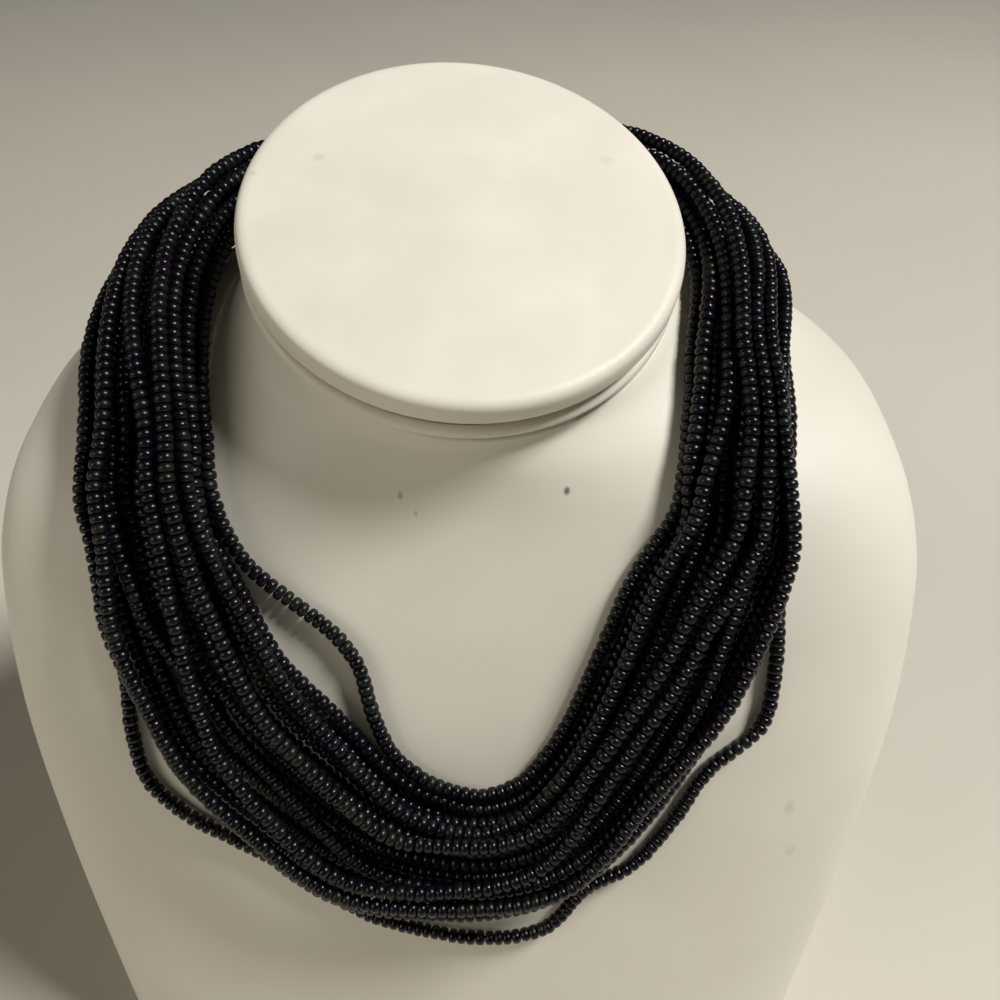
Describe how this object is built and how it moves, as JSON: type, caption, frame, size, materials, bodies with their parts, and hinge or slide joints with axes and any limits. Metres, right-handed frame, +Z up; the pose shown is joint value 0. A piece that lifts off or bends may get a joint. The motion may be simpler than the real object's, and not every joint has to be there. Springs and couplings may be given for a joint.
{
  "type": "statement necklace on a neck bust",
  "caption": "Wide torsade necklace of dark glossy seed bead strands with loose loops, laid round a plain neck and shoulder display bust with a padded tilted cap.",
  "frame": {"origin": "centre of the overall box in X and Y, on the bust's flat base", "axes": "+Z up, the front of the bust and necklace faces -Y, +X is to the right as seen from the front"},
  "size_m": [0.2482, 0.1932, 0.2718],
  "materials": {
    "bust_cover": "satin",
    "beads": "gloss",
    "clasp_metal": "satin"
  },
  "bodies": {
    "root": {"bust": "bust_cover", "neck_cap": "bust_cover", "cap_welt": "bust_cover", "clasp": "clasp_metal", "strand_01": "beads", "strand_02": "beads", "strand_03": "beads", "strand_04": "beads", "strand_05": "beads", "strand_06": "beads", "strand_07": "beads", "strand_08": "beads", "strand_09": "beads", "strand_10": "beads", "strand_11": "beads", "strand_12": "beads", "strand_13": "beads", "strand_14": "beads", "strand_15": "beads", "strand_16": "beads", "strand_17": "beads", "strand_18": "beads", "strand_19": "beads", "strand_20": "beads", "strand_21": "beads"}
  },
  "joints": []
}
